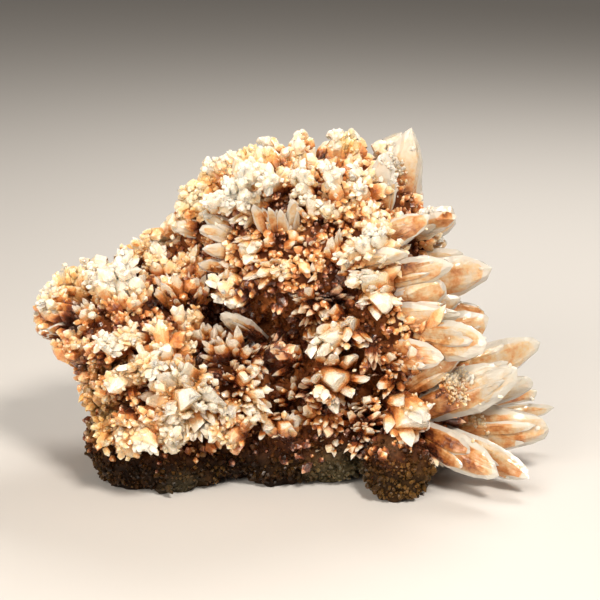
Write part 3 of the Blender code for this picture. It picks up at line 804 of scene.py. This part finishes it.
def sheaves(parents, each, slim, lean, draw):
    """Slimmer crystals side by side in each parent, by one row of SHEAVES."""
    count = len(parents.root) * each
    on = Seeds(*(np.repeat(column, each, axis=0) for column in parents))
    turn = draw.uniform(0, math.tau, size=count)
    out = np.sqrt(draw.random(count))
    other = np.cross(on.axis, on.side)
    flank = on.side * (out * np.cos(turn))[:, None] + other * (out * on.flat * np.sin(turn))[:, None]
    half = on.half * draw.uniform(*slim, size=count)
    rise = 0.05 * on.length * draw.random(count)
    root = on.root + flank * (0.45 * on.half)[:, None] + on.axis * rise[:, None]
    axis = unit(on.axis + flank * lean + draw.normal(scale=0.02, size=root.shape))
    side = unit(np.cross(axis, np.cross(on.side, axis) + 0.15 * draw.normal(size=root.shape)))
    length = on.length * (1.0 - 0.30 * out**2 - draw.uniform(0, 0.14, size=count))
    tones = np.clip(on.tone + 0.15 * draw.normal(size=count), 0, 1)
    found = Seeds(root, axis, side, length, half, draw.uniform(0.5, 0.8, size=count), on.along, tones)
    tips = root + axis * length[:, None]
    return chosen(found, in_shape(tips, OUTLINE) & in_box(tips))


# Finer crystals on the flanks of others: how many, the share of the parent's length where they root, their
# length and half width, how far they lean out, how unevenly they point and how far they keep to the low end.
Plan = namedtuple("Plan", "count share length half lean wander low")


def between(limits, shares):
    """The values at these shares of the way between the limits."""
    return limits[0] + (limits[1] - limits[0]) * shares


def budding(parents, plan, draw):
    """Seeds on the flanks of others, more of them on the larger ones, and none that leave the outline."""
    weights = parents.length * parents.half
    on = chosen(parents, draw.choice(len(weights), size=plan.count, p=weights / weights.sum()))
    share = between(plan.share, draw.random(plan.count) ** plan.low)
    turn = draw.uniform(0, math.tau, size=plan.count)
    radius = np.interp(share, [0, 0.58, 0.82, 1], [0.75, 1.0, 0.72, 0.1]) * on.half
    other = np.cross(on.axis, on.side)
    flank = on.side * np.cos(turn)[:, None] + other * (on.flat * np.sin(turn))[:, None]
    root = on.root + on.axis * (share * on.length)[:, None] + flank * (0.82 * radius)[:, None]
    wander = draw.normal(scale=plan.wander, size=root.shape)
    axis = unit(on.axis * (0.4 + share)[:, None] + unit(flank) * plan.lean + wander)
    side = unit(np.cross(axis, np.cross(on.side, axis) + 0.3 * draw.normal(size=root.shape)))
    scale = draw.random(plan.count) ** 1.5
    length = between(plan.length, scale)
    half = between(plan.half, scale)
    flat = draw.uniform(0.6, 0.95, size=plan.count)
    along = on.along + (1 - on.along) * share
    found = Seeds(root, axis, side, length, half, flat, along, draw.random(plan.count))
    tips = root + axis * length[:, None]
    return chosen(found, in_shape(tips, OUTLINE) & in_box(tips) & ~bare(tips) & ~in_gap(tips, length, draw))


# The rock: the part's lumps, much finer.

ROCK_VOXEL = 1.0
GRAIN_SIZE = 3.4
GRAIN_DEPTH = 1.0


def lumps_run_together():
    """The lumps as one bmesh."""
    balls = bmesh.new()
    for _, centre, radii in CORE:
        matrix = Matrix.Translation(centre) @ Matrix.Diagonal((*radii, 1))
        bmesh.ops.create_icosphere(balls, subdivisions=4, radius=1, matrix=matrix)
    mesh = bpy.data.meshes.new("lumps")
    balls.to_mesh(mesh)
    balls.free()
    lumps = bpy.data.objects.new("lumps", mesh)
    bpy.context.scene.collection.objects.link(lumps)
    remesh = lumps.modifiers.new("Run together", "REMESH")
    remesh.mode = "VOXEL"
    remesh.voxel_size = ROCK_VOXEL
    with bpy.context.temp_override(object=lumps, active_object=lumps, selected_objects=[lumps]):
        bpy.ops.object.modifier_apply(modifier=remesh.name)
    rock = bmesh.new()
    rock.from_mesh(lumps.data)
    bpy.data.objects.remove(lumps)
    bpy.data.meshes.remove(mesh)
    return rock


def rock_growth():
    """The rock, rough at two scales and cut flat where the specimen rests."""
    rock = lumps_run_together()
    rock.normal_update()
    pushes = []
    for vert in rock.verts:
        push = noise.fractal(vert.co / ROCK_SIZE, 0.9, 2.1, 3) * ROCK_DEPTH
        grain = noise.voronoi(vert.co / GRAIN_SIZE)[0]
        pushes.append(vert.normal * (push + (0.5 - grain[0]) * 2 * GRAIN_DEPTH))
    for vert, push in zip(rock.verts, pushes):
        vert.co += push
    cut_off(rock, (0, 0, 0), (0, 0, 1), clear_inner=True)
    bmesh.ops.recalc_face_normals(rock, faces=rock.faces)
    points, triangles = arrays_of(rock)
    zeros = np.zeros(len(points))
    return Growth(points, triangles, zeros, zeros, zeros, zeros + 0.5)


def on_rock(rock, count, draw):
    """(points, normals) spread over the rock's surface."""
    corners = rock.points[rock.triangles]
    across = np.cross(corners[:, 1] - corners[:, 0], corners[:, 2] - corners[:, 0])
    area = np.linalg.norm(across, axis=1)
    rows = draw.choice(len(area), size=count, p=area / area.sum())
    u, v = np.sqrt(draw.random(count)), draw.random(count)
    a, b, c = corners[rows, 0], corners[rows, 1], corners[rows, 2]
    points = a * (1 - u)[:, None] + b * (u * (1 - v))[:, None] + c * (u * v)[:, None]
    return points, across[rows] / area[rows, None]


# Small crystals square to the rock: how many, their length and half width, how unevenly they point, and
# whether they grow on its bare stretches or on the rest.
Druse = namedtuple("Druse", "count length half wander on_bare")
RAGGED = 2.0  # how far the edge of a bare stretch wanders
SHORTEST_THINNED = 2.4
LOWEST_PALE = 6.0


def druse_seeds(rock, druse, draw):
    points, normals = on_rock(rock, druse.count, draw)
    axis = unit(normals + draw.normal(scale=druse.wander, size=points.shape))
    side = unit(np.cross(axis, draw.normal(size=points.shape)))
    scale = draw.random(druse.count) ** 2
    lengths = between(druse.length, scale)
    halves = between(druse.half, scale)
    zeros = np.zeros(druse.count)
    found = Seeds(points, axis, side, lengths, halves, zeros + 0.85, zeros + 0.4, draw.random(druse.count))
    tips = points + axis * lengths[:, None]
    ragged = points + draw.normal(scale=RAGGED, size=points.shape)
    thick = (lengths < SHORTEST_THINNED) | (draw.random(druse.count) < 1 - 0.9 * spots(points, THIN_PLACES))
    pale = thick & (points[:, 2] > LOWEST_PALE) & ~in_gap(tips, lengths, draw)
    keep = (bare(ragged) == druse.on_bare) & in_box(tips) & (points[:, 2] > 1.0) & in_shape(tips, OUTLINE)
    return chosen(found, keep & (druse.on_bare | pale))


# Shader nodes


def constants(node, values):
    """Sets a node's sockets, by their names."""
    for name, value in values.items():
        node.inputs[name].default_value = value


def ramp_node(tree, value, stops):
    """The colour of a ramp at the value."""
    node = tree.nodes.new("ShaderNodeValToRGB")
    ramp = node.color_ramp
    while len(ramp.elements) < len(stops):
        ramp.elements.new(0.5)
    for element, (place, colour) in zip(ramp.elements, stops):
        element.position = place
        element.color = (*colour, 1)
    tree.links.new(value, node.inputs["Fac"])
    return node.outputs["Color"]


def math_node(tree, operation, first, second):
    node = tree.nodes.new("ShaderNodeMath")
    node.operation = operation
    for socket, value in zip(node.inputs, (first, second)):
        if isinstance(value, (int, float)):
            socket.default_value = value
        else:
            tree.links.new(value, socket)
    return node.outputs[0]


def times(tree, first, second):
    return math_node(tree, "MULTIPLY", first, second)


def plus(tree, first, second):
    return math_node(tree, "ADD", first, second)


def swing(tree, texture, strength):
    """A texture's swing about its middle, times a strength."""
    return times(tree, math_node(tree, "SUBTRACT", texture, 0.5), strength)


def mixed(tree, factor, first, second):
    """The first colour, with the second, a constant or a link, over it by the factor."""
    node = tree.nodes.new("ShaderNodeMix")
    node.data_type = "RGBA"
    tree.links.new(factor, node.inputs[0])
    tree.links.new(first, node.inputs[6])
    if isinstance(second, tuple):
        node.inputs[7].default_value = (*second, 1)
    else:
        tree.links.new(second, node.inputs[7])
    return node.outputs[2]


def attribute(tree, name):
    node = tree.nodes.new("ShaderNodeAttribute")
    node.attribute_name = name
    return node.outputs["Fac"]


def textured(tree, kind, size_mm):
    """A texture node whose cells are of a size in millimetres, in the object's own space."""
    place = tree.nodes.new("ShaderNodeTexCoord")
    node = tree.nodes.new(kind)
    constants(node, {"Scale": 1000 / size_mm})
    tree.links.new(place.outputs["Object"], node.inputs["Vector"])
    return node


def noise_node(tree, size_mm, detail=3):
    node = textured(tree, "ShaderNodeTexNoise", size_mm)
    constants(node, {"Detail": detail})
    return node.outputs["Fac"]


def cells_node(tree, size_mm):
    """Flat-sided cells, as the small faces that grow on a large one."""
    return textured(tree, "ShaderNodeTexVoronoi", size_mm).outputs["Distance"]


def streak_node(tree):
    """Noise drawn out along each crystal, from its own measures."""
    place = tree.nodes.new("ShaderNodeCombineXYZ")
    for socket, name, scale in (("X", "across", 1.6), ("Y", "along", 3.0), ("Z", "tone", 97)):
        tree.links.new(times(tree, attribute(tree, name), scale), place.inputs[socket])
    node = tree.nodes.new("ShaderNodeTexNoise")
    constants(node, {"Scale": 1.0, "Detail": 3})
    tree.links.new(place.outputs["Vector"], node.inputs["Vector"])
    return node.outputs["Fac"]


def bumped(tree, heights):
    """Chained bumps: (height output, distance in millimetres, strength)."""
    normal = None
    for height, distance, strength in heights:
        node = tree.nodes.new("ShaderNodeBump")
        constants(node, {"Distance": distance * 0.001, "Strength": strength})
        tree.links.new(height, node.inputs["Height"])
        if normal is not None:
            tree.links.new(normal, node.inputs["Normal"])
        normal = node.outputs["Normal"]
    return normal


def new_material(name):
    made = bpy.data.materials.new(name)
    made.use_nodes = True
    return made, made.node_tree, made.node_tree.nodes["Principled BSDF"]


# Calcite

CALCITE_STAINS = [
    (0.00, (0.93, 0.86, 0.74)),
    (0.18, (0.93, 0.77, 0.57)),
    (0.36, (0.93, 0.64, 0.35)),
    (0.52, (0.84, 0.40, 0.15)),
    (0.68, (0.58, 0.21, 0.055)),
    (0.84, (0.24, 0.065, 0.025)),
    (1.00, (0.07, 0.022, 0.012)),
]
PALE = (0.93, 0.90, 0.82)
GOLD = (0.92, 0.62, 0.22)
# What each kind of calcite is like: its name, see-through share, range of roughness, graininess, how much
# light sinks in, how pale its rims are, how strong its cloudy blotches are and how much rustier it is.
CALCITES = {
    "blade": ("calcite_clear", 0.40, (0.03, 0.16), 0.7, 0.30, 0.75, 1.1, 0.0),
    "point": ("calcite_milky", 0.10, (0.12, 0.34), 0.4, 0.60, 0.30, 0.6, 0.0),
    "rough": ("calcite_frosted", 0.06, (0.20, 0.48), 0.6, 0.70, 0.15, 0.45, 0.0),
    "core": ("calcite_core", 0.0, (0.30, 0.60), 0.9, 0.6, 0.0, 1.0, 0.15),
}


def stain_colour(tree, streak, fleck, rims, cloud, rusty):
    """The crystals' colour: their stain with blotches, flecks and streaks, lemon spots and pale rims."""
    blotch = noise_node(tree, 4.0, 6)
    stain = plus(tree, attribute(tree, "stain"), rusty)
    for texture, strength in ((blotch, cloud), (fleck, 0.35), (streak, 0.22)):
        stain = plus(tree, stain, swing(tree, texture, strength))
    rim = plus(tree, attribute(tree, "rim"), swing(tree, blotch, 0.9))
    edge = times(tree, ramp_node(tree, rim, [(0.54, (0, 0, 0)), (0.70, (1, 1, 1))]), rims)
    stained = ramp_node(tree, math_node(tree, "SUBTRACT", stain, edge), CALCITE_STAINS)
    golden = mixed(tree, times(tree, attribute(tree, "gold"), 0.6), stained, GOLD)
    return mixed(tree, edge, golden, PALE)


def calcite(name, transmission, frost, sugar, sunk, rims, cloud, rusty):
    """Frosted calcite, by one row of CALCITES."""
    made, tree, shader = new_material(name)
    fleck = noise_node(tree, 1.0, 3)
    streak = streak_node(tree)
    tree.links.new(stain_colour(tree, streak, fleck, rims, cloud, rusty), shader.inputs["Base Color"])
    rough = tree.nodes.new("ShaderNodeMapRange")
    constants(rough, {"From Min": 0.35, "From Max": 0.65, "To Min": frost[0], "To Max": frost[1]})
    tree.links.new(fleck, rough.inputs["Value"])
    tree.links.new(rough.outputs["Result"], shader.inputs["Roughness"])
    constants(shader, {
        "IOR": 1.55,
        "Specular IOR Level": 0.8,
        "Transmission Weight": transmission,
        "Subsurface Weight": sunk,
        "Subsurface Radius": (1.0, 0.85, 0.7),
        "Subsurface Scale": 0.0015,
    })
    fine = noise_node(tree, 0.6, 2)
    heights = [(streak, 0.4, 0.7), (cells_node(tree, 2.6), 0.5, 0.5), (fine, 0.14, sugar)]
    tree.links.new(bumped(tree, heights), shader.inputs["Normal"])
    return made


# The matrix

UPPER_ROCK = [
    (0.25, (0.018, 0.005, 0.003)),
    (0.45, (0.062, 0.016, 0.006)),
    (0.62, (0.15, 0.045, 0.013)),
    (0.80, (0.27, 0.12, 0.04)),
]
# Olive brown at the rock's foot, darkened as painted shade.
SHADED_ROCK_FOOT = [
    (0.25, (0.004, 0.002, 0.001)),
    (0.45, (0.013, 0.0055, 0.002)),
    (0.62, (0.036, 0.016, 0.0045)),
    (0.80, (0.10, 0.053, 0.015)),
]
ROCK_SPOTS = {"gold": (0.36, 0.19, 0.05), "rust": (0.34, 0.11, 0.028), "grey": (0.16, 0.14, 0.075)}


def rock_colours(tree, share):
    """Red brown between the crystals and olive brown at the foot, darkened there as painted shade, where some
    of it is golden or grey.
    """
    upper = ramp_node(tree, share, UPPER_ROCK)
    colour = mixed(tree, attribute(tree, "low"), upper, ramp_node(tree, share, SHADED_ROCK_FOOT))
    for name, own in ROCK_SPOTS.items():
        colour = mixed(tree, times(tree, attribute(tree, name), share), colour, own)
    return colour


def rock_material():
    made, tree, shader = new_material("matrix_rock")
    grain = noise_node(tree, 1.1, 3)
    share = plus(tree, times(tree, noise_node(tree, 9.0, 5), 0.6), times(tree, grain, 0.4))
    tree.links.new(rock_colours(tree, share), shader.inputs["Base Color"])
    constants(shader, {"Roughness": 0.65, "Specular IOR Level": 0.1})
    heights = [(grain, 0.5, 0.8), (noise_node(tree, 0.6, 3), 0.2, 0.6)]
    tree.links.new(bumped(tree, heights), shader.inputs["Normal"])
    return made


def dark_druse_material():
    """Grains of the bare rock, each of its own tone."""
    made, tree, shader = new_material("dark_druse")
    tone = times(tree, attribute(tree, "tone"), 0.32)
    share = plus(tree, times(tree, noise_node(tree, 8.0, 4), 0.80), tone)
    tree.links.new(rock_colours(tree, share), shader.inputs["Base Color"])
    constants(shader, {
        "Roughness": 0.3,
        "Specular IOR Level": 0.15,
        "Subsurface Weight": 0.4,
        "Subsurface Radius": (1.0, 0.55, 0.3),
        "Subsurface Scale": 0.0008,
    })
    return made


# The whole

GROWTH_SEED = 7
PLURAL = {"blade": "blades", "point": "points", "rough": "rough"}
# The slimmer crystals side by side in a large one: how many, their share of its width and how they fan out.
SHEAVES = {
    "blade": (5, (0.30, 0.55), 0.10),
    "point": (8, (0.34, 0.56), 0.42),
    "rough": (5, (0.36, 0.60), 0.40),
}
CORES = {"blade": 0.72, "point": 0.66}  # how wide a crystal's stained core is to the crystal
CORE_SHORTER = 0.85
# What grows on each habit of crystal: first the daughters, then the sugar on them and on their parent.
DAUGHTERS = {
    "blade": Plan(200, (0.0, 0.30), (4, 9), (1.0, 2.1), 0.45, 0.12, 1.0),
    "point": Plan(420, (0.0, 0.75), (2.0, 4.6), (0.9, 1.9), 0.70, 0.25, 1.0),
    "rough": Plan(1600, (0.10, 0.95), (2.8, 6.0), (1.3, 2.8), 0.75, 0.28, 1.0),
}
SUGAR = {
    "blade": Plan(45000, (0.0, 0.95), (0.7, 1.6), (0.35, 0.70), 1.0, 0.35, 1.0),
    "point": Plan(2000, (0.0, 0.70), (0.7, 1.5), (0.35, 0.65), 1.0, 0.35, 1.6),
    "rough": Plan(7000, (0.10, 1.0), (1.2, 3.0), (0.6, 1.35), 0.9, 0.40, 1.0),
}
STRAY_SUGAR = 0.003  # the share of a blade's sugar that stays outside the crusts
# What grows on the rock, by the piece's name: its templates and its plan.
DRUSES = {
    "druse_coarse": ("knobs", Druse(3800, (2.2, 5.0), (0.9, 1.9), 0.35, False)),
    "druse_fine": ("grains", Druse(12500, (1.1, 3.0), (0.6, 1.35), 0.40, False)),
    "dark_druse_coarse": ("knobs", Druse(4200, (1.1, 2.4), (0.5, 1.0), 0.45, True)),
    "dark_druse_fine": ("grains", Druse(24000, (0.5, 1.3), (0.3, 0.65), 0.50, True)),
}


def in_crusts(sugar, draw):
    """The sugar of the blades, which grows thickly in some places and hardly elsewhere."""
    edge = 0.45 + 0.25 * slow_noise(sugar.root, 4, 12)
    kept = chosen(sugar, (spots(sugar.root, CRUSTS) > edge) | (draw.random(len(sugar.root)) < STRAY_SUGAR))
    return kept._replace(tone=0.3 * kept.tone)


def grow_crystals(habit, templates, materials, draw, sown):
    """One habit's crystals with the sheaves in them, their daughters, their sugar and their cores."""
    name = PLURAL[habit]
    own = [crystal for crystal in CRYSTALS if crystal.habit == habit]
    parents = seeds_of(own, sown)
    if habit == "rough":
        parents = parents._replace(length=BODY[habit][1] * parents.length)
    bodies = joined([detailed(crystal, draw) for crystal in own])
    slim = templates["blades" if habit == "blade" else "points"]
    sheaf = grown(sheaves(parents, *SHEAVES[habit], sown), slim, sown, 1.0)
    add_piece(f"{name}_large", joined([bodies, sheaf]), materials[habit], LOOKS[habit])
    daughters = budding(parents, DAUGHTERS[habit], sown)
    short = templates["buds" if habit == "blade" else "knobs"]
    skin = materials["point" if habit == "point" else "rough"]
    add_piece(f"{name}_small", grown(daughters, short, sown), skin)
    both = Seeds(*(np.concatenate(pair) for pair in zip(parents, daughters)))
    sugar = budding(both, SUGAR[habit], sown)
    if habit == "blade":
        sugar = in_crusts(sugar, sown)
    add_piece(f"{name}_sugar", grown(sugar, templates["grains"], sown), materials["rough"])
    if habit in CORES:
        share = CORES[habit]
        inner = parents._replace(length=parents.length * share * CORE_SHORTER, half=parents.half * share)
        add_piece(f"{name}_cores", grown(inner, templates["blades"], sown, 1.0), materials["core"])


def grow_rock(templates, pale, sown):
    """The matrix and the druse on it, pale between the crystals and dark where it is bare."""
    rock = rock_growth()
    add_piece("matrix", rock, rock_material(), smooth_shaded=True)
    dark = dark_druse_material()
    for name, (kind, druse) in DRUSES.items():
        seeds = druse_seeds(rock, druse, sown)
        add_piece(name, grown(seeds, templates[kind], sown), dark if druse.on_bare else pale)


def build():
    draw = random.Random(GROWTH_SEED)
    sown = np.random.default_rng(GROWTH_SEED)
    materials = {kind: calcite(*row) for kind, row in CALCITES.items()}
    templates = templates_of(draw)
    for habit in PLURAL:
        grow_crystals(habit, templates, materials, draw, sown)
    grow_rock(templates, materials["rough"], sown)


# The studio, in metres

FLOOR_HALF = 4.0
LIT_POINT = (0, 0, 0.04)
# Name, place, size, power and colour.
LIGHTS = [
    ("key", (0.14, -0.34, 0.44), (0.12, 0.12), 3.1, (1.0, 0.91, 0.80)),
    ("front", (-0.34, -0.48, 0.30), (0.4, 0.4), 3.3, (1.0, 0.90, 0.78)),
    ("back", (0.16, 0.30, 0.42), (0.3, 0.15), 1.8, (1.0, 0.94, 0.86)),
]
SENSOR_WIDTH = 36
LENS = 120.96


def add_light(name, place, size, power, colour):
    data = bpy.data.lights.new(name, "AREA")
    data.shape = "RECTANGLE"
    data.size, data.size_y = size
    data.energy = power
    data.color = colour
    light = bpy.data.objects.new(name, data)
    bpy.context.scene.collection.objects.link(light)
    light.location = place
    light.rotation_euler = (Vector(LIT_POINT) - Vector(place)).to_track_quat("-Z", "Y").to_euler()


def floor():
    mesh = bpy.data.meshes.new("floor")
    corners = [(x * FLOOR_HALF, y * FLOOR_HALF, 0) for x, y in ((-1, -1), (1, -1), (1, 1), (-1, 1))]
    mesh.from_pydata(corners, [], [(0, 1, 2, 3)])
    made = bpy.data.objects.new("floor", mesh)
    bpy.context.scene.collection.objects.link(made)
    paint, _, shader = new_material("floor")
    constants(shader, {"Base Color": (0.62, 0.61, 0.60, 1), "Roughness": 0.8})
    mesh.materials.append(paint)


def studio():
    floor()
    for light in LIGHTS:
        add_light(*light)
    world = bpy.data.worlds.new("studio")
    bpy.context.scene.world = world
    world.use_nodes = True
    constants(world.node_tree.nodes["Background"], {"Color": (1.0, 0.90, 0.79, 1), "Strength": 0.13})
    bpy.context.scene.view_settings.view_transform = "Standard"


def camera():
    data = bpy.data.cameras.new("camera")
    data.sensor_width = SENSOR_WIDTH
    data.lens = LENS
    data.clip_start = 0.01
    made = bpy.data.objects.new("camera", data)
    bpy.context.scene.collection.objects.link(made)
    angle = math.radians(VIEW_ANGLE)
    target = in_row([VIEW_TARGET])[0]
    back = VIEW_DISTANCE * MM
    made.location = (target[0], target[1] - back * math.cos(angle), target[2] + back * math.sin(angle))
    made.rotation_euler = (math.pi / 2 - angle, 0, 0)
    bpy.context.scene.camera = made


build()
studio()
camera()
